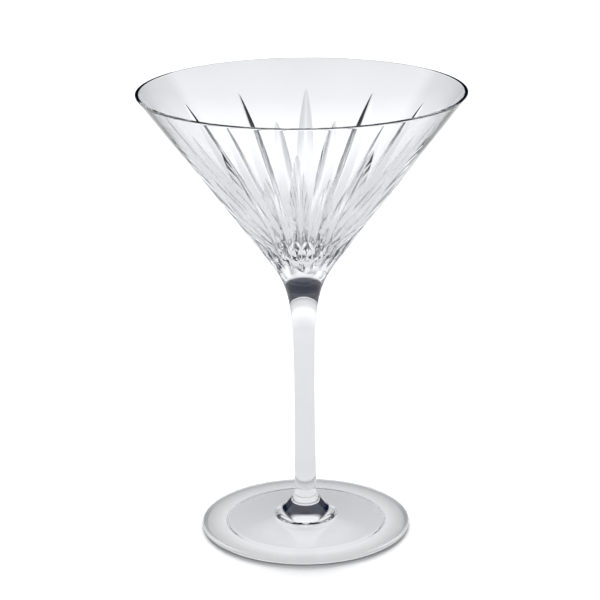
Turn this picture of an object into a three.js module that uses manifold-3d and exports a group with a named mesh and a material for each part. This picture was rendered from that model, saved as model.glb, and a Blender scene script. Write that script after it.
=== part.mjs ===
// Martini glass in cut crystal: a conical bowl, a drawn stem and a spun foot, fused while hot.
// Millimetres, +Z up. The origin is the centre of the ring that the foot stands on.
import * as THREE from 'three';
import { mergeVertices } from 'three/addons/utils/BufferGeometryUtils.js';
import Module from 'manifold-3d';

const wasm = await Module();
wasm.setup();

// ---- Driving dimensions: whole glass ----
const overallHeight = 178;
const rimRadius = 63.4;
const weldGap = 0.3; // the solids stay this far apart where the hot glass was joined

// ---- Driving dimensions: bowl ----
const coneHeight = 66; // straight outside of the bowl, from the flare up to the lip
const coneFootRadius = 14.2; // outside radius where the cone runs into the flare
const lipThickness = 1.16; // wall square to its face, at the flat ground lip
const lipRounding = 0.18; // the polished edges of the lip
const wallTaper = THREE.MathUtils.degToRad(1); // between the inner and outer walls, thicker downwards
const cavityDepth = 64.3;
const cavityWallReach = 43; // how far down the inside keeps to the line of its wall
const cavityFloorReach = 13; // and how far out it keeps to the level of its floor

// ---- Driving dimensions: cuts ground into the outside of the bowl ----
const cutsPerRow = 12;
const patternTurn = THREE.MathUtils.degToRad(-2); // how far the pattern is turned from -Y
const longCutMargin = 11.5; // from the rim down to the tips of the long cuts
const shortCutMargin = 22.7; // from the rim down to the tips of the short cuts
const cutRunOut = 1.6; // how far below the foot of the cone the cuts fade out
const cutWidth = 7.6; // across a cut at its widest
const cutRootWidth = 0.6; // the narrow floor between the two flanks of a cut
const flankSlope = THREE.MathUtils.degToRad(28); // of a flank against the uncut wall

// ---- Driving dimensions: stem ----
const waistRadius = 4;
const waistHeight = 42;
const stemFootRadius = 4.35;
const upperWeldDrop = 14; // from the foot of the cone down to the weld on the stem

// ---- Driving dimensions: foot ----
const footRadius = 41.7;
const lowerWeldHeight = 14;
const hubRadius = 13; // where the hub's fillet has run out into the disc
const hubHeight = 4.4; // top of the disc at that radius
const hubSlope = THREE.MathUtils.degToRad(8); // of the disc where it meets the hub
const discSlope = THREE.MathUtils.degToRad(2.5); // of the disc near its edge
const edgeThickness = 1.8; // of the fire-polished edge
const edgeLift = 0.1; // air under the edge
const footOverhang = 2.5; // from the edge in to the ring that the glass stands on
const standingRingWidth = 7;
const ringStep = 1.1; // how far the underside rises at once, inside the standing ring
const ringStepWidth = 1.5;
const hollowDepth = 2.9; // how far the underside rises at its centre

// ---- Facet counts ----
const turnSegments = 72;
const stemTurnSegments = 36;
const flareSegments = 12;
const arcSegments = 6;
const cavitySegments = 16;
const cutSteps = 8;

// ---- Heights and places that follow from the sizes above ----
const coneFootHeight = overallHeight - coneHeight;
const upperWeldHeight = coneFootHeight - upperWeldDrop;
const coneFoot = new THREE.Vector2(coneFootRadius, coneFootHeight);
const waist = new THREE.Vector2(waistRadius, waistHeight);
const stemFoot = new THREE.Vector2(stemFootRadius, lowerWeldHeight);

const outerLean = Math.atan2(rimRadius - coneFootRadius, coneHeight);
const innerLean = outerLean + wallTaper;
const lipWidth = lipThickness / Math.cos(outerLean);

// The outside of the stem, from the foot's weld to the waist and on through the flare to the cone.
const flareRun = coneFootHeight - waistHeight;
const flareStemReach = 0.735 * flareRun; // how long the flare keeps to the stem's line
const flareConeReach = 0.239 * flareRun; // and to the cone's line
const flare = new THREE.CubicBezierCurve(
  waist,
  new THREE.Vector2(waist.x, waist.y + flareStemReach),
  new THREE.Vector2(
    coneFoot.x - flareConeReach * Math.sin(outerLean),
    coneFoot.y - flareConeReach * Math.cos(outerLean),
  ),
  coneFoot,
);
const lowerStemRun = waistHeight - lowerWeldHeight;
const lowerStem = new THREE.CubicBezierCurve(
  stemFoot,
  new THREE.Vector2(stemFoot.x, stemFoot.y + lowerStemRun / 3),
  new THREE.Vector2(waist.x, waist.y - lowerStemRun / 2),
  waist,
);

// Points of a rising curve between two heights, both ends cut square at those heights.
function curveBetween(curve, low, high, segments) {
  const fine = curve.getPoints(40 * segments);
  const radiusAt = (height) => {
    const above = fine.findIndex((point) => point.y >= height);
    const top = fine[above < 0 ? fine.length - 1 : above];
    const bottom = fine[Math.max(above < 0 ? fine.length - 2 : above - 1, 0)];
    const share = top.y > bottom.y ? (height - bottom.y) / (top.y - bottom.y) : 0;
    return bottom.x + share * (top.x - bottom.x);
  };
  const points = [];
  for (let i = 0; i <= segments; i += 1) {
    const height = low + ((high - low) * i) / segments;
    points.push(new THREE.Vector2(radiusAt(height), height));
  }
  return points;
}

// Points of an arc about a centre, from one angle to another, counted from the radius direction.
function arc(centre, radius, from, to, segments) {
  const points = [];
  for (let i = 0; i <= segments; i += 1) {
    const angle = from + ((to - from) * i) / segments;
    points.push(
      new THREE.Vector2(
        centre.x + radius * Math.cos(angle),
        centre.y + radius * Math.sin(angle),
      ),
    );
  }
  return points;
}

// A turned body about Z from a profile of (radius, height) that starts and ends on the axis.
function turned(profile, segments = turnSegments) {
  return new THREE.LatheGeometry(profile, segments).rotateX(Math.PI / 2);
}

// A manifold solid from a closed three.js geometry.
function toSolid(geometry) {
  const bare = geometry.clone();
  bare.deleteAttribute('normal');
  bare.deleteAttribute('uv');
  const merged = mergeVertices(bare);
  const index = merged.index.array;
  const kept = [];
  for (let i = 0; i < index.length; i += 3) {
    const [a, b, c] = [index[i], index[i + 1], index[i + 2]];
    if (a !== b && b !== c && c !== a) kept.push(a, b, c);
  }
  return new wasm.Manifold(
    new wasm.Mesh({
      numProp: 3,
      vertProperties: Float32Array.from(merged.attributes.position.array),
      triVerts: Uint32Array.from(kept),
    }),
  );
}

function toGeometry(solid) {
  const mesh = solid.getMesh();
  const geometry = new THREE.BufferGeometry();
  geometry.setAttribute('position', new THREE.BufferAttribute(mesh.vertProperties, 3));
  geometry.setIndex(new THREE.BufferAttribute(mesh.triVerts, 1));
  geometry.computeVertexNormals();
  return geometry;
}

// ---- Bowl ----

// One polished edge of the flat lip: side 1 is the outer edge and side -1 the inner one.
function lipEdge(cornerRadius, lean, side) {
  const back = lipRounding / Math.tan((Math.PI / 2 - side * lean) / 2);
  const centre = new THREE.Vector2(cornerRadius - side * back, overallHeight - lipRounding);
  if (side === 1) {
    return arc(centre, lipRounding, -lean, Math.PI / 2, arcSegments / 2);
  }
  return arc(centre, lipRounding, Math.PI / 2, Math.PI - lean, arcSegments / 2);
}

// The uncut blank: up the outside, over the flat lip, down the inside to the round floor.
function bowlBlank() {
  const weld = upperWeldHeight + weldGap / 2;
  const innerRim = rimRadius - lipWidth;
  const outside = curveBetween(flare, weld, coneFootHeight, flareSegments / 2);
  const outerEdge = lipEdge(rimRadius, outerLean, 1);
  const innerEdge = lipEdge(innerRim, innerLean, -1);
  const floorHeight = overallHeight - cavityDepth;
  const wallEnd = new THREE.Vector2(
    innerRim - cavityWallReach * Math.tan(innerLean),
    overallHeight - cavityWallReach,
  );
  const cavity = new THREE.CubicBezierCurve(
    innerEdge[innerEdge.length - 1],
    wallEnd,
    new THREE.Vector2(cavityFloorReach, floorHeight),
    new THREE.Vector2(0, floorHeight),
  );
  const start = new THREE.Vector2(0, weld);
  const inside = cavity.getPoints(cavitySegments).slice(1);
  return turned([start, ...outside, ...outerEdge, ...innerEdge, ...inside]);
}

// The wheel's path for one cut, flattened: X runs down the wall, Z stands out of it.
// The V of the wheel dips to full depth halfway and comes out of the glass at both ends.
function cutter(length) {
  const depth = ((cutWidth - cutRootWidth) / 2) * Math.tan(flankSlope);
  const overrun = 1.1;
  const half = length / 2;
  const reach = half * overrun;
  const path = new THREE.QuadraticBezierCurve3(
    new THREE.Vector3(reach, 0, depth * (overrun ** 2 - 1)),
    new THREE.Vector3(0, 0, -depth * (1 + overrun ** 2)),
    new THREE.Vector3(-reach, 0, depth * (overrun ** 2 - 1)),
  );
  const rise = 2 * depth;
  const root = cutRootWidth / 2;
  const wide = root + rise / Math.tan(flankSlope);
  const section = new THREE.Shape([
    new THREE.Vector2(-root, 0),
    new THREE.Vector2(root, 0),
    new THREE.Vector2(wide, rise),
    new THREE.Vector2(-wide, rise),
  ]);
  return new THREE.ExtrudeGeometry(section, { steps: cutSteps, extrudePath: path });
}

// Cutters of one row, all round the cone, with their tips a margin below the rim.
function cutterRow(tipMargin, turn) {
  const tipHeight = overallHeight - tipMargin;
  const endHeight = coneFootHeight - cutRunOut;
  const middle = (tipHeight + endHeight) / 2;
  const middleRadius = coneFootRadius + (middle - coneFootHeight) * Math.tan(outerLean);
  const down = new THREE.Vector3(-Math.sin(outerLean), 0, -Math.cos(outerLean));
  const out = new THREE.Vector3(Math.cos(outerLean), 0, -Math.sin(outerLean));
  const across = new THREE.Vector3().crossVectors(out, down);
  const place = new THREE.Matrix4().makeBasis(down, across, out);
  place.setPosition(middleRadius, 0, middle);
  const shape = cutter((tipHeight - endHeight) / Math.cos(outerLean)).applyMatrix4(place);
  const row = [];
  for (let i = 0; i < cutsPerRow; i += 1) {
    const angle = -Math.PI / 2 + turn + (2 * Math.PI * i) / cutsPerRow;
    row.push(toSolid(shape.clone().rotateZ(angle)));
  }
  return row;
}

function bowl() {
  let solid = toSolid(bowlBlank());
  const betweenLongCuts = patternTurn + Math.PI / cutsPerRow;
  const longRow = cutterRow(longCutMargin, patternTurn);
  const shortRow = cutterRow(shortCutMargin, betweenLongCuts);
  for (const wheel of [...longRow, ...shortRow]) {
    solid = solid.subtract(wheel);
  }
  return toGeometry(solid);
}

// ---- Stem ----

function stem() {
  const bottom = lowerWeldHeight + weldGap / 2;
  const top = upperWeldHeight - weldGap / 2;
  const lower = curveBetween(lowerStem, bottom, waistHeight, flareSegments / 2);
  const upper = curveBetween(flare, waistHeight, top, flareSegments);
  const profile = [
    new THREE.Vector2(0, bottom),
    ...lower,
    ...upper.slice(1),
    new THREE.Vector2(0, top),
  ];
  return turned(profile, stemTurnSegments);
}

// ---- Foot ----

// Hollow underside, flat standing ring, round edge, dished top and the hub's fillet.
function foot() {
  const ringOuter = footRadius - footOverhang;
  const ringInner = ringOuter - standingRingWidth;
  const stepFoot = ringInner - ringStepWidth;
  const edgeRadius = edgeThickness / 2;
  const edgeCentre = new THREE.Vector2(footRadius - edgeRadius, edgeLift + edgeRadius);
  const hollow = new THREE.CubicBezierCurve(
    new THREE.Vector2(0, hollowDepth),
    new THREE.Vector2(stepFoot / 3, hollowDepth),
    new THREE.Vector2(stepFoot * 0.7, ringStep + 0.3),
    new THREE.Vector2(stepFoot, ringStep),
  );
  const step = new THREE.CubicBezierCurve(
    new THREE.Vector2(stepFoot, ringStep),
    new THREE.Vector2(stepFoot + ringStepWidth / 2, ringStep),
    new THREE.Vector2(ringInner - ringStepWidth / 2, 0),
    new THREE.Vector2(ringInner, 0),
  );
  const edge = arc(edgeCentre, edgeRadius, -Math.PI / 2, Math.PI / 2 - discSlope, arcSegments);
  const discEdge = edge[edge.length - 1];
  const hubFoot = new THREE.Vector2(hubRadius, hubHeight);
  const discRun = (edgeCentre.x - hubRadius) / 2;
  const hubRun = discRun / 2;
  const disc = new THREE.CubicBezierCurve(
    discEdge,
    new THREE.Vector2(discEdge.x - discRun, discEdge.y + discRun * Math.tan(discSlope)),
    new THREE.Vector2(hubRadius + hubRun, hubHeight - hubRun * Math.tan(hubSlope)),
    hubFoot,
  );
  const top = lowerWeldHeight - weldGap / 2;
  const filletReach = (lowerWeldHeight - hubHeight) / 5;
  const hub = new THREE.CubicBezierCurve(
    hubFoot,
    new THREE.Vector2(hubRadius - filletReach, hubHeight + filletReach * Math.tan(hubSlope)),
    new THREE.Vector2(stemFootRadius, lowerWeldHeight - filletReach),
    new THREE.Vector2(stemFootRadius, lowerWeldHeight),
  );
  const fillet = hub.getPoints(flareSegments).slice(1, -1);
  return turned([
    ...hollow.getPoints(arcSegments),
    ...step.getPoints(arcSegments).slice(1),
    new THREE.Vector2(ringOuter, 0),
    ...edge,
    ...disc.getPoints(arcSegments).slice(1),
    ...fillet,
    new THREE.Vector2(stemFootRadius, top),
    new THREE.Vector2(0, top),
  ]);
}

// ---- Assembly ----

const crystal = { color: 0xeaf0f4, roughness: 0.02, metalness: 0 };

function piece(name, geometry) {
  const mesh = new THREE.Mesh(geometry, new THREE.MeshStandardMaterial(crystal));
  mesh.name = name;
  return mesh;
}

const glass = new THREE.Group();
glass.add(piece('bowl', bowl()));
glass.add(piece('stem', stem()));
glass.add(piece('foot', foot()));

export default glass;
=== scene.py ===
"""A martini glass in cut crystal: spun foot, drawn stem and blown, wheel-cut bowl, fused into one glass."""
import math

import bpy
from mathutils import Euler, Matrix, Vector
from mathutils.geometry import interpolate_bezier


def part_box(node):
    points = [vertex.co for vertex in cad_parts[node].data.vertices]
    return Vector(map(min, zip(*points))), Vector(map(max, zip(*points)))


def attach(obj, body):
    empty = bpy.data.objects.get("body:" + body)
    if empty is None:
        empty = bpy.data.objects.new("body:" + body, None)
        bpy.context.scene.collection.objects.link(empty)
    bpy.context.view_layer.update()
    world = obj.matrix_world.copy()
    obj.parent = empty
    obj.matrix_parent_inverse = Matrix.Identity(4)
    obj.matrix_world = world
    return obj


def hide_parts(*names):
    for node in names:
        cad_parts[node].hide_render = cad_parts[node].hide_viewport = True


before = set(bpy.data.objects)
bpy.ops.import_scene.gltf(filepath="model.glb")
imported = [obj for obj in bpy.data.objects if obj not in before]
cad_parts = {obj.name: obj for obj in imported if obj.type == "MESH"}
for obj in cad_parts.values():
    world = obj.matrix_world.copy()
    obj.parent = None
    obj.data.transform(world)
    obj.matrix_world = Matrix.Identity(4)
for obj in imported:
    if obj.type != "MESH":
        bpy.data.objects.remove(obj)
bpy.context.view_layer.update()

# ---------------------------------------------------------------------------------------------
# Camera. A long lens a little above the rim, looking down into the bowl from the -Y side.
# ---------------------------------------------------------------------------------------------
CAMERA_DISTANCE = 0.807
CAMERA_HEIGHT = 0.3542
LOOK_DOWN = math.radians(17.84)
LOOK_LEFT = math.radians(0.1)
HEAD_TILT = math.radians(0.61)
LENS = 129.9

bpy.ops.object.camera_add(location=(0, -CAMERA_DISTANCE, CAMERA_HEIGHT))
camera = bpy.context.object
camera.name = "studio_camera"
aim = Euler((math.pi / 2 - LOOK_DOWN, 0, LOOK_LEFT)).to_matrix()
camera.rotation_euler = (aim @ Matrix.Rotation(-HEAD_TILT, 3, "Z")).to_euler()
camera.data.lens = LENS
camera.data.sensor_width = 36
bpy.context.scene.camera = camera

# ---------------------------------------------------------------------------------------------
# Studio. A white table in a dark room, under a ring of soft boxes. Seen in the glass, the table glows with
# a painted pool of light round the glass, and its colour fades into the dark room as painted shade.
# The picture is exposed so that table and room are plain white where they are seen past the glass.
# ---------------------------------------------------------------------------------------------
TABLE_RADIUS = 4.0
# The table's colour where the glass sees it, then a lighter copy of it, painted light, where the camera
# sees it straight.
TABLE_WHITE = 0.32
TABLE_WHITE_EXPOSED = 0.72
# Distance from the glass in metres, then the table's painted glow there: a painted pool of light, brightest
# under the foot, that no lamp gives.
TABLE_PAINTED_GLOW = (
    (0, 0.78),
    (0.0415, 0.84),
    (0.044, 0.22),
    (0.33, 0.24),
    (0.48, 0.56),
    (0.6, 0.60),
    (0.75, 0.32),
    (0.9, 0.24),
    (1.3, 0.16),
    (2.2, 0.06),
    (4.0, 0.0),
)
# From and to these distances in metres the table's colour, as the glass sees it, darkens into painted
# shade.
TABLE_EDGE_FADE = (1.2, 4.0)
TABLE_WHITE_AT_EDGE = 0.01
# Tint of the painted glow.
TABLE_PAINTED_GLOW_TINT = (0.985, 0.99, 1.0)
# The table lies a hundredth of a millimetre up, clear of the flat ring that the foot stands on.
TABLE_REST = 0.00001
# Painted glow of the table where the camera sees it straight.
TABLE_PAINTED_GLOW_EXPOSED = 0.02
BACK_LIGHT = 18.0
BACK_LIGHT_HEIGHT = math.radians(9)
BACK_LIGHT_SPREAD = math.radians(50)
LIGHT_BOUNCES = 12
ROOM_DARK = (0.004, 0.009, 0.026)
# Elevation in degrees, then the light that comes from there.
RING_LIGHT = (
    (0, (0.03, 0.036, 0.052)),
    (8, ROOM_DARK),
    (27, ROOM_DARK),
    (33, (0.90, 0.91, 0.94)),
    (45, (0.93, 0.94, 0.97)),
    (60, (1.15, 1.16, 1.18)),
    (68, (0.45, 0.46, 0.48)),
    (90, (0.30, 0.31, 0.33)),
)

bpy.ops.mesh.primitive_circle_add(
    vertices=96, radius=TABLE_RADIUS, fill_type="NGON", location=(0, 0, TABLE_REST)
)
table = bpy.context.object
table.name = "studio_table"
table_surface = bpy.data.materials.new("white_table_painted_glow")
table_surface.use_nodes = True
table_surface_tree = table_surface.node_tree
table_surface_shader = table_surface_tree.nodes["Principled BSDF"]
table_surface_shader.inputs["Roughness"].default_value = 1.0
table_surface_shader.inputs["Specular IOR Level"].default_value = 0.0
table_surface_shader.inputs["Emission Strength"].default_value = 1.0
spot = table_surface_tree.nodes.new("ShaderNodeTexCoord")
spot_distance = table_surface_tree.nodes.new("ShaderNodeVectorMath")
spot_distance.operation = "LENGTH"
spot_share = table_surface_tree.nodes.new("ShaderNodeMapRange")
spot_share.inputs["From Max"].default_value = TABLE_RADIUS
# Painted pool of light: the table glows by its distance from the glass, as the glass sees it.
painted_light_pool = table_surface_tree.nodes.new("ShaderNodeValToRGB")
for i, (distance, level) in enumerate(TABLE_PAINTED_GLOW):
    place = distance / TABLE_RADIUS
    stop = painted_light_pool.color_ramp.elements[0] if i == 0 else painted_light_pool.color_ramp.elements.new(place)
    stop.position = place
    stop.color = (*(tint * level for tint in TABLE_PAINTED_GLOW_TINT), 1)
painted_light_pool.color_ramp.elements.remove(painted_light_pool.color_ramp.elements[-1])
seen_straight = table_surface_tree.nodes.new("ShaderNodeLightPath")
whiteness = table_surface_tree.nodes.new("ShaderNodeMix")
whiteness.data_type = "RGBA"
# Painted shade: the table's colour, as the glass sees it, darkens away from the glass towards the edge.
painted_shade_fade = table_surface_tree.nodes.new("ShaderNodeMapRange")
painted_shade_fade.interpolation_type = "SMOOTHSTEP"
painted_shade_fade.inputs["From Min"].default_value = TABLE_EDGE_FADE[0]
painted_shade_fade.inputs["From Max"].default_value = TABLE_EDGE_FADE[1]
painted_shade_fade.inputs["To Min"].default_value = TABLE_WHITE
painted_shade_fade.inputs["To Max"].default_value = TABLE_WHITE_AT_EDGE
# Seen straight by the camera, the table takes the lighter, painted-light copy of its colour.
whiteness.inputs["B"].default_value = (*[TABLE_WHITE_EXPOSED] * 3, 1)
# The glass sees the painted pool of light; the camera, seeing the table straight, sees only a faint painted
# glow.
painted_glow = table_surface_tree.nodes.new("ShaderNodeMix")
painted_glow.data_type = "RGBA"
painted_glow.inputs["B"].default_value = (*[TABLE_PAINTED_GLOW_EXPOSED] * 3, 1)
table_surface_tree.links.new(spot.outputs["Object"], spot_distance.inputs[0])
table_surface_tree.links.new(spot_distance.outputs["Value"], spot_share.inputs["Value"])
table_surface_tree.links.new(spot_share.outputs["Result"], painted_light_pool.inputs["Fac"])
table_surface_tree.links.new(spot_distance.outputs["Value"], painted_shade_fade.inputs["Value"])
table_surface_tree.links.new(painted_shade_fade.outputs["Result"], whiteness.inputs["A"])
table_surface_tree.links.new(seen_straight.outputs["Is Camera Ray"], whiteness.inputs["Factor"])
table_surface_tree.links.new(seen_straight.outputs["Is Camera Ray"], painted_glow.inputs["Factor"])
table_surface_tree.links.new(painted_light_pool.outputs["Color"], painted_glow.inputs["A"])
table_surface_tree.links.new(whiteness.outputs["Result"], table_surface_shader.inputs["Base Color"])
table_surface_tree.links.new(painted_glow.outputs["Result"], table_surface_shader.inputs["Emission Color"])
table.data.materials.append(table_surface)

# A wide soft box low behind the glass lights the table only, and gives the foot its soft shadow.
bpy.ops.object.light_add(type="SUN", rotation=(BACK_LIGHT_HEIGHT - math.pi / 2, 0, 0))
back_light = bpy.context.object
back_light.name = "studio_back_light"
back_light.data.energy = BACK_LIGHT
back_light.data.angle = BACK_LIGHT_SPREAD
back_light.visible_glossy = False
back_light.visible_transmission = False

world = bpy.data.worlds.new("studio_light")
bpy.context.scene.world = world
world.use_nodes = True
sky = world.node_tree
direction = sky.nodes.new("ShaderNodeTexCoord")
split = sky.nodes.new("ShaderNodeSeparateXYZ")
ring = sky.nodes.new("ShaderNodeValToRGB")
room = sky.nodes.new("ShaderNodeLightPath")
exposed = sky.nodes.new("ShaderNodeMix")
exposed.data_type = "RGBA"
sky.links.new(direction.outputs["Generated"], split.inputs[0])
sky.links.new(split.outputs["Z"], ring.inputs["Fac"])
for i, (elevation, light) in enumerate(RING_LIGHT):
    place = math.sin(math.radians(elevation))
    stop = ring.color_ramp.elements[0] if i == 0 else ring.color_ramp.elements.new(place)
    stop.position = place
    stop.color = (*light, 1)
ring.color_ramp.elements.remove(ring.color_ramp.elements[-1])
sky.links.new(room.outputs["Is Camera Ray"], exposed.inputs["Factor"])
sky.links.new(ring.outputs["Color"], exposed.inputs["A"])
exposed.inputs["B"].default_value = (1, 1, 1, 1)
sky.links.new(exposed.outputs["Result"], sky.nodes["Background"].inputs["Color"])

scene = bpy.context.scene
scene.view_settings.view_transform = "Standard"
scene.cycles.max_bounces = LIGHT_BOUNCES
scene.cycles.transmission_bounces = LIGHT_BOUNCES
scene.cycles.glossy_bounces = LIGHT_BOUNCES
scene.cycles.blur_glossy = 0
scene.cycles.caustics_refractive = False

# ---------------------------------------------------------------------------------------------
# Foot. A disc of clear crystal spun from a hot gather, of nearly even thickness, with a rounded
# edge and a hub that the stem is fused to. It stands on a flat ring, round a slightly hollow middle.
# ---------------------------------------------------------------------------------------------
MM = 0.001
TURN_STEPS = 256

foot_low, foot_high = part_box("foot")
stem_low, stem_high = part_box("stem")
bowl_low, bowl_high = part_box("bowl")
FOOT_RADIUS = foot_high.x
LOWER_WELD = (foot_high.z + stem_low.z) / 2
UPPER_WELD = (stem_high.z + bowl_low.z) / 2
STEM_FOOT_RADIUS = 4.35 * MM
HUB_RADIUS = 13 * MM
HUB_HEIGHT = 4.4 * MM
EDGE_THICKNESS = 1.8 * MM
EDGE_LIFT = 0.1 * MM
RING_OUTER = FOOT_RADIUS - 2.5 * MM
RING_INNER = RING_OUTER - 7 * MM
HOLLOW_DEPTH = 2.9 * MM
RING_STEP = 1.1 * MM
STEP_WIDTH = 1.5 * MM
DISC_SLOPE = math.radians(2.5)
HUB_SLOPE = math.radians(8)
SMOOTH_UP_TO = math.radians(25)
MERGE_DISTANCE = 0.001 * MM
WELD_GAP = 0.02 * MM
CRYSTAL_TINT = (0.978, 0.986, 1.0, 1)
CRYSTAL_IOR = 1.53
HAZE = 0.02
CORD_RELIEF = 0.012 * MM
POLISH_LINE_RELIEF = 0.0015 * MM


def bend(start, start_handle, end_handle, end, points):
    """Points of a smooth bend from start to end, each (radius, height)."""
    corners = [Vector((r, z, 0)) for r, z in (start, start_handle, end_handle, end)]
    return [(p.x, p.y) for p in interpolate_bezier(*corners, points)]


def arc(centre, radius, start, end, points):
    """Points of an arc about centre between two angles, counted from the outward direction."""
    angles = [start + (end - start) * i / (points - 1) for i in range(points)]
    return [(centre[0] + radius * math.cos(a), centre[1] + radius * math.sin(a)) for a in angles]


def draw(name, outline):
    """A new piece in edit mode: one vertex pulled along an outline of (radius, height) points."""
    bpy.ops.object.select_all(action="DESELECT")
    bpy.ops.mesh.primitive_plane_add(size=MM)
    piece = bpy.context.object
    piece.name = name
    bpy.ops.object.mode_set(mode="EDIT")
    bpy.ops.mesh.merge(type="CENTER")
    first = Vector((outline[0][0], 0, outline[0][1]))
    bpy.ops.transform.translate(value=first)
    at = first
    for radius, height in outline[1:]:
        to = Vector((radius, 0, height))
        bpy.ops.mesh.extrude_region_move(TRANSFORM_OT_translate={"value": to - at})
        at = to
    bpy.ops.mesh.select_all(action="SELECT")
    return piece


def turn(name, outline):
    """A closed body turned about Z from an outline that starts and ends on the axis."""
    piece = draw(name, outline)
    bpy.ops.mesh.spin(steps=TURN_STEPS, angle=2 * math.pi, center=(0, 0, 0), axis=(0, 0, 1))
    bpy.ops.mesh.select_all(action="SELECT")
    bpy.ops.mesh.remove_doubles(threshold=MERGE_DISTANCE)
    bpy.ops.mesh.normals_make_consistent(inside=False)
    bpy.ops.object.mode_set(mode="OBJECT")
    return piece


def mark_welds(piece, heights, joint):
    """Gives the flat faces that were fused to the next piece the clear finish of solid glass."""
    joint_slot = len(piece.data.materials)
    piece.data.materials.append(joint)
    for face in piece.data.polygons:
        flat = abs(face.normal.z) > 0.999
        if flat and any(abs(face.center.z - height) < 0.05 * MM for height in heights):
            face.material_index = joint_slot


def crystal(name, polish_lines):
    """Clear crystal with faint cords and a not quite even polish; cut faces keep polishing lines."""
    material = bpy.data.materials.new(name)
    material.use_nodes = True
    tree = material.node_tree
    shader = tree.nodes["Principled BSDF"]
    shader.inputs["Base Color"].default_value = CRYSTAL_TINT
    shader.inputs["IOR"].default_value = CRYSTAL_IOR
    shader.inputs["Transmission Weight"].default_value = 1.0
    where = tree.nodes.new("ShaderNodeTexCoord")
    # Uneven polish: cloudy patches a few millimetres across.
    patches = tree.nodes.new("ShaderNodeTexNoise")
    patches.inputs["Scale"].default_value = 180
    patches.inputs["Detail"].default_value = 3
    polish = tree.nodes.new("ShaderNodeMapRange")
    polish.inputs["From Min"].default_value = 0.45
    polish.inputs["From Max"].default_value = 0.75
    polish.inputs["To Max"].default_value = HAZE
    tree.links.new(where.outputs["Object"], patches.inputs["Vector"])
    tree.links.new(patches.outputs["Fac"], polish.inputs["Value"])
    tree.links.new(polish.outputs["Result"], shader.inputs["Roughness"])
    # Cords: long shallow waves left in the surface by the gathering and turning.
    stretch_out = tree.nodes.new("ShaderNodeMapping")
    stretch_out.inputs["Scale"].default_value = (1, 1, 0.3)
    cords = tree.nodes.new("ShaderNodeTexNoise")
    cords.inputs["Scale"].default_value = 110
    cords.inputs["Detail"].default_value = 1
    cord_relief = tree.nodes.new("ShaderNodeBump")
    cord_relief.inputs["Distance"].default_value = CORD_RELIEF
    tree.links.new(where.outputs["Object"], stretch_out.inputs["Vector"])
    tree.links.new(stretch_out.outputs["Vector"], cords.inputs["Vector"])
    tree.links.new(cords.outputs["Fac"], cord_relief.inputs["Height"])
    tree.links.new(cord_relief.outputs["Normal"], shader.inputs["Normal"])
    if polish_lines:
        # Polishing lines that run along the cuts, so they change only with the azimuth.
        apart = tree.nodes.new("ShaderNodeSeparateXYZ")
        azimuth = tree.nodes.new("ShaderNodeMath")
        azimuth.operation = "ARCTAN2"
        lines = tree.nodes.new("ShaderNodeTexNoise")
        lines.noise_dimensions = "1D"
        lines.inputs["Scale"].default_value = 260
        lines.inputs["Detail"].default_value = 2
        line_relief = tree.nodes.new("ShaderNodeBump")
        line_relief.inputs["Distance"].default_value = POLISH_LINE_RELIEF
        tree.links.new(where.outputs["Object"], apart.inputs["Vector"])
        tree.links.new(apart.outputs["Y"], azimuth.inputs[0])
        tree.links.new(apart.outputs["X"], azimuth.inputs[1])
        tree.links.new(azimuth.outputs[0], lines.inputs["W"])
        tree.links.new(lines.outputs["Fac"], line_relief.inputs["Height"])
        tree.links.new(cord_relief.outputs["Normal"], line_relief.inputs["Normal"])
        tree.links.new(line_relief.outputs["Normal"], shader.inputs["Normal"])
    return material


fused_joint = bpy.data.materials.new("fused_joint")
fused_joint.use_nodes = True
joint_tree = fused_joint.node_tree
joint_tree.nodes.remove(joint_tree.nodes["Principled BSDF"])
clear = joint_tree.nodes.new("ShaderNodeBsdfTransparent")
joint_tree.links.new(clear.outputs[0], joint_tree.nodes["Material Output"].inputs["Surface"])

edge_radius = EDGE_THICKNESS / 2
edge_centre = (FOOT_RADIUS - edge_radius, EDGE_LIFT + edge_radius)
disc_run = (edge_centre[0] - HUB_RADIUS) / 2
hub_reach = (LOWER_WELD - HUB_HEIGHT) / 5
step_foot = RING_INNER - STEP_WIDTH
underside = bend(
    (0, HOLLOW_DEPTH),
    (step_foot / 3, HOLLOW_DEPTH),
    (step_foot * 0.7, RING_STEP + 0.3 * MM),
    (step_foot, RING_STEP),
    20,
)
ring_step = bend(
    (step_foot, RING_STEP),
    (step_foot + STEP_WIDTH / 2, RING_STEP),
    (RING_INNER - STEP_WIDTH / 2, 0),
    (RING_INNER, 0),
    12,
)
under_edge = bend(
    (RING_OUTER, 0),
    (RING_OUTER + 0.5 * MM, 0),
    (edge_centre[0] - 0.5 * MM, EDGE_LIFT),
    (edge_centre[0], EDGE_LIFT),
    8,
)
edge = arc(edge_centre, edge_radius, -math.pi / 2, math.pi / 2 - DISC_SLOPE, 20)
disc_edge = (
    edge_centre[0] + edge_radius * math.sin(DISC_SLOPE),
    edge_centre[1] + edge_radius * math.cos(DISC_SLOPE),
)
disc = bend(
    disc_edge,
    (disc_edge[0] - disc_run, disc_edge[1] + disc_run * math.tan(DISC_SLOPE)),
    (HUB_RADIUS + disc_run / 2, HUB_HEIGHT - disc_run / 2 * math.tan(HUB_SLOPE)),
    (HUB_RADIUS, HUB_HEIGHT),
    20,
)
hub = bend(
    (HUB_RADIUS, HUB_HEIGHT),
    (HUB_RADIUS - hub_reach, HUB_HEIGHT + hub_reach * math.tan(HUB_SLOPE)),
    (STEM_FOOT_RADIUS, LOWER_WELD - hub_reach),
    (STEM_FOOT_RADIUS, LOWER_WELD),
    32,
)
foot_top = LOWER_WELD - WELD_GAP / 2
hub[-1] = (STEM_FOOT_RADIUS, foot_top)
foot_under = underside + ring_step[1:] + under_edge
foot_upper = edge[1:] + disc[1:] + hub[1:] + [(0, foot_top)]
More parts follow.
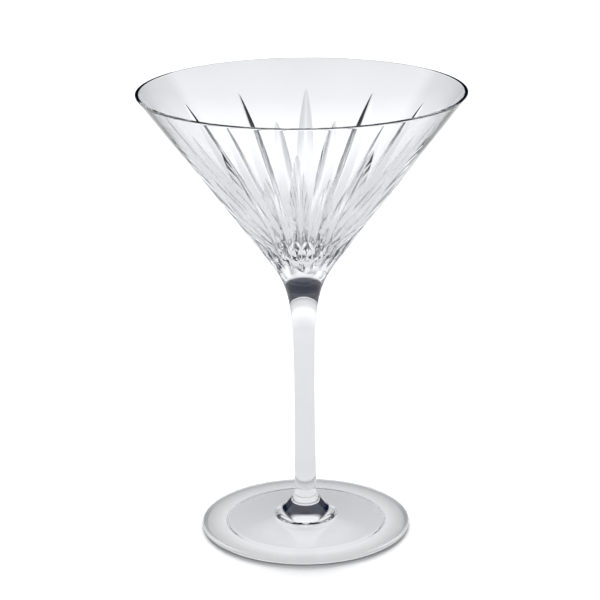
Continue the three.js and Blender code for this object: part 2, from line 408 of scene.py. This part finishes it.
foot = turn("foot_crystal_disc", foot_under + foot_upper)
foot.data.materials.append(crystal("foot_crystal", False))
mark_welds(foot, [LOWER_WELD], fused_joint)
bpy.ops.object.shade_smooth_by_angle(angle=SMOOTH_UP_TO)
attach(foot, "root")
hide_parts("foot")

# ---------------------------------------------------------------------------------------------
# Stem. A rod drawn from the bottom of the hot bowl, thinnest a little below its middle, which
# swells into the bowl above and meets the foot's hub below.
# ---------------------------------------------------------------------------------------------
WAIST_RADIUS = 4.0 * MM
WAIST_HEIGHT = 42 * MM
CONE_HEIGHT = 66 * MM
CONE_FOOT_RADIUS = 14.2 * MM
RIM_RADIUS = 63.4 * MM
FLARE_HOLD = 0.735
FLARE_TURN = 0.239
RIM_HEIGHT = bowl_high.z

cone_foot = (CONE_FOOT_RADIUS, RIM_HEIGHT - CONE_HEIGHT)
OUTER_LEAN = math.atan2(RIM_RADIUS - CONE_FOOT_RADIUS, CONE_HEIGHT)
flare_run = cone_foot[1] - WAIST_HEIGHT
flare = bend(
    (WAIST_RADIUS, WAIST_HEIGHT),
    (WAIST_RADIUS, WAIST_HEIGHT + FLARE_HOLD * flare_run),
    (
        cone_foot[0] - FLARE_TURN * flare_run * math.sin(OUTER_LEAN),
        cone_foot[1] - FLARE_TURN * flare_run * math.cos(OUTER_LEAN),
    ),
    cone_foot,
    400,
)
lower_run = WAIST_HEIGHT - LOWER_WELD
lower_stem = bend(
    (STEM_FOOT_RADIUS, LOWER_WELD),
    (STEM_FOOT_RADIUS, LOWER_WELD + lower_run / 3),
    (WAIST_RADIUS, WAIST_HEIGHT - lower_run / 2),
    (WAIST_RADIUS, WAIST_HEIGHT),
    200,
)


def stretch(curve, low, high, points):
    """Evenly spaced points of a rising curve between two heights."""
    result = []
    for i in range(points):
        height = low + (high - low) * i / (points - 1)
        above = next((n for n, p in enumerate(curve) if p[1] >= height), len(curve) - 1)
        (r0, z0), (r1, z1) = curve[max(above - 1, 0)], curve[above]
        share = (height - z0) / (z1 - z0) if z1 > z0 else 0
        result.append((r0 + (r1 - r0) * share, height))
    return result


stem_bottom = LOWER_WELD + WELD_GAP / 2
stem_top = UPPER_WELD - WELD_GAP / 2
lower_part = stretch(lower_stem, stem_bottom, WAIST_HEIGHT, 24)
upper_part = stretch(flare, WAIST_HEIGHT, stem_top, 60)
stem = turn("stem_crystal_rod", [(0, stem_bottom)] + lower_part + upper_part[1:] + [(0, stem_top)])
stem.data.materials.append(crystal("stem_crystal", False))
mark_welds(stem, [LOWER_WELD, UPPER_WELD], fused_joint)
bpy.ops.object.shade_smooth_by_angle(angle=SMOOTH_UP_TO)
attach(stem, "root")
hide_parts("stem")

# ---------------------------------------------------------------------------------------------
# Bowl. A blown cone with a flat, ground and polished lip and a wall that thickens into a solid
# bottom. Twelve long and twelve short cuts are ground into its outside with a rounded V wheel.
# ---------------------------------------------------------------------------------------------
LIP_THICKNESS = 1.16 * MM
LIP_ROUNDING = 0.18 * MM
CAVITY_DEPTH = 64.3 * MM
WALL_TAPER = math.radians(1)
WALL_REACH = 43 * MM
FLOOR_REACH = 13 * MM
CUTS_PER_ROW = 12
PATTERN_TURN = math.radians(-2)
LONG_CUT_MARGIN = 11.5 * MM
SHORT_CUT_MARGIN = 22.7 * MM
CUT_RUN_OUT = 1.6 * MM
CUT_WIDTH = 7.6 * MM
FLANK_SLOPE = math.radians(28)
WHEEL_EDGE_ROUNDING = 0.3 * MM
WHEEL_ABOVE_WALL = 0.6 * MM
SLICE_STEPS = 60

slice_angle = 2 * math.pi / CUTS_PER_ROW
long_cut_azimuth = -math.pi / 2 + PATTERN_TURN
short_cut_azimuth = long_cut_azimuth + slice_angle / 2
slice_start = long_cut_azimuth - slice_angle / 4
slice_end = slice_start + slice_angle
lip_width = LIP_THICKNESS / math.cos(OUTER_LEAN)
INNER_LEAN = OUTER_LEAN + WALL_TAPER
cavity_bottom = (0, RIM_HEIGHT - CAVITY_DEPTH)


def straight(start, end, points):
    """Points between start and end, without either of them, with one close to each end."""
    shares = [0.01] + [i / (points - 1) for i in range(1, points - 1)] + [0.99]
    return [tuple(a + (b - a) * share for a, b in zip(start, end)) for share in shares]


def rounded_corner(corner, lean, side, points):
    """The polished edge of the flat lip, between its top and a wall that leans by lean."""
    opening = math.pi / 2 - side * lean
    back = LIP_ROUNDING / math.tan(opening / 2)
    centre = (corner[0] - side * back, corner[1] - LIP_ROUNDING)
    if side == 1:
        return arc(centre, LIP_ROUNDING, -lean, math.pi / 2, points)
    return arc(centre, LIP_ROUNDING, math.pi / 2, math.pi - lean, points)


bowl_bottom = UPPER_WELD + WELD_GAP / 2
outside = stretch(flare, bowl_bottom, cone_foot[1], 18)
outer_corner = rounded_corner((RIM_RADIUS, RIM_HEIGHT), OUTER_LEAN, 1, 9)
inner_corner = rounded_corner((RIM_RADIUS - lip_width, RIM_HEIGHT), INNER_LEAN, -1, 7)
cavity_edge = (RIM_RADIUS - lip_width, RIM_HEIGHT)
cavity = bend(
    inner_corner[-1],
    (cavity_edge[0] - WALL_REACH * math.tan(INNER_LEAN), RIM_HEIGHT - WALL_REACH),
    (FLOOR_REACH, cavity_bottom[1]),
    cavity_bottom,
    48,
)
bowl_outline = (
    [(0, bowl_bottom)]
    + outside
    + straight(outside[-1], outer_corner[0], 8)
    + outer_corner
    + straight(outer_corner[-1], inner_corner[0], 4)
    + inner_corner
    + [tuple(a + (b - a) * 0.1 for a, b in zip(inner_corner[-1], cavity[1]))]
    + cavity[1:]
)

# One slice of the uncut blank, a twelfth of a turn, with room for a long cut and a short one.
bowl = draw("bowl_cut_crystal", bowl_outline)
bpy.ops.mesh.edge_face_add()
bpy.ops.transform.rotate(value=-slice_end, orient_axis="Z", center_override=(0, 0, 0))
bpy.ops.mesh.spin(steps=SLICE_STEPS, angle=slice_angle, center=(0, 0, 0), axis=(0, 0, 1))
bpy.ops.mesh.select_all(action="SELECT")
bpy.ops.mesh.remove_doubles(threshold=MERGE_DISTANCE)
bpy.ops.mesh.normals_make_consistent(inside=False)
bpy.ops.object.mode_set(mode="OBJECT")

polished_cut = crystal("polished_cut", True)


def wheel_cut(name, tip_margin, azimuth):
    """The glass that the wheel takes out in one cut, from its tip down to where it runs out."""
    tip = RIM_HEIGHT - tip_margin
    end = cone_foot[1] - CUT_RUN_OUT
    length = (tip - end) / math.cos(OUTER_LEAN)
    flank = math.tan(FLANK_SLOPE)
    rounding = WHEEL_EDGE_ROUNDING
    depth = math.hypot(rounding, CUT_WIDTH / 2 * flank) - rounding
    wheel_radius = (length**2 / 4 + depth**2) / (2 * depth)
    rise = depth + WHEEL_ABOVE_WALL
    reach = math.acosh((rise + rounding) / rounding)
    section = []
    for i in range(33):
        share = reach * (i - 16) / 16
        height = rounding * math.cosh(share) - rounding - wheel_radius
        section.append((rounding / flank * math.sinh(share), height))
    wheel = draw(name, section)
    bpy.ops.mesh.edge_face_add()
    half_turn = math.asin(0.55 * length / wheel_radius)
    bpy.ops.transform.rotate(value=-half_turn, orient_axis="X", center_override=(0, 0, 0))
    bpy.ops.mesh.spin(steps=64, angle=2 * half_turn, center=(0, 0, 0), axis=(1, 0, 0))
    bpy.ops.mesh.select_all(action="SELECT")
    bpy.ops.mesh.normals_make_consistent(inside=False)
    bpy.ops.object.mode_set(mode="OBJECT")
    middle = (tip + end) / 2
    middle_radius = CONE_FOOT_RADIUS + (middle - cone_foot[1]) * math.tan(OUTER_LEAN)
    # Stand the wheel on the wall: its X runs across the cut, its Z out of the glass.
    out = Vector((math.cos(OUTER_LEAN), 0, -math.sin(OUTER_LEAN)))
    along = Vector((math.sin(OUTER_LEAN), 0, math.cos(OUTER_LEAN)))
    across = along.cross(out)
    place = Matrix((across, along, out)).transposed().to_4x4()
    place.translation = Vector((middle_radius, 0, middle)) + out * (wheel_radius - depth)
    wheel.data.transform(Matrix.Rotation(azimuth, 4, "Z") @ place)
    wheel.data.materials.append(None)
    wheel.data.materials.append(polished_cut)
    for face in wheel.data.polygons:
        face.material_index = 1
    return wheel


def grind(piece, wheel):
    """Takes the wheel's cut out of the piece."""
    bpy.ops.object.select_all(action="DESELECT")
    bpy.context.view_layer.objects.active = piece
    piece.select_set(True)
    cut = piece.modifiers.new("wheel_cut", "BOOLEAN")
    cut.operation = "DIFFERENCE"
    cut.solver = "EXACT"
    cut.material_mode = "INDEX"
    cut.object = wheel
    bpy.ops.object.modifier_apply(modifier=cut.name)
    bpy.data.objects.remove(wheel)


bowl.data.materials.append(crystal("bowl_crystal", False))
bowl.data.materials.append(polished_cut)
grind(bowl, wheel_cut("long_cut", LONG_CUT_MARGIN, long_cut_azimuth))
grind(bowl, wheel_cut("short_cut", SHORT_CUT_MARGIN, short_cut_azimuth))

# Open the slice's two flat sides and set twelve of it round the axis.
bpy.ops.object.mode_set(mode="EDIT")
bpy.ops.mesh.select_mode(type="FACE")
bpy.ops.mesh.select_all(action="DESELECT")
bpy.ops.object.mode_set(mode="OBJECT")
for azimuth, side in ((slice_start, -1), (slice_end, 1)):
    facing = Vector((-math.sin(azimuth), math.cos(azimuth), 0)) * side
    for face in bowl.data.polygons:
        if face.normal.dot(facing) > 0.9999 and abs(face.center.dot(facing)) < 0.001 * MM:
            face.select = True
bpy.ops.object.mode_set(mode="EDIT")
bpy.ops.mesh.delete(type="FACE")
bpy.ops.mesh.select_all(action="SELECT")
bpy.ops.mesh.spin(
    steps=CUTS_PER_ROW, angle=2 * math.pi, dupli=True, center=(0, 0, 0), axis=(0, 0, 1)
)
bpy.ops.mesh.select_all(action="SELECT")
bpy.ops.mesh.remove_doubles(threshold=0.002 * MM)
bpy.ops.mesh.normals_make_consistent(inside=False)
bpy.ops.object.mode_set(mode="OBJECT")
mark_welds(bowl, [UPPER_WELD], fused_joint)
bpy.ops.object.shade_smooth_by_angle(angle=SMOOTH_UP_TO)

# The outline of every cut stays a crisp edge.
bpy.ops.object.mode_set(mode="EDIT")
bpy.ops.mesh.select_mode(type="FACE")
bpy.ops.mesh.select_all(action="DESELECT")
bowl.active_material_index = 1
bpy.ops.object.material_slot_select()
bpy.ops.mesh.region_to_loop()
bpy.ops.mesh.mark_sharp()
bpy.ops.object.mode_set(mode="OBJECT")
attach(bowl, "root")
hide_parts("bowl")
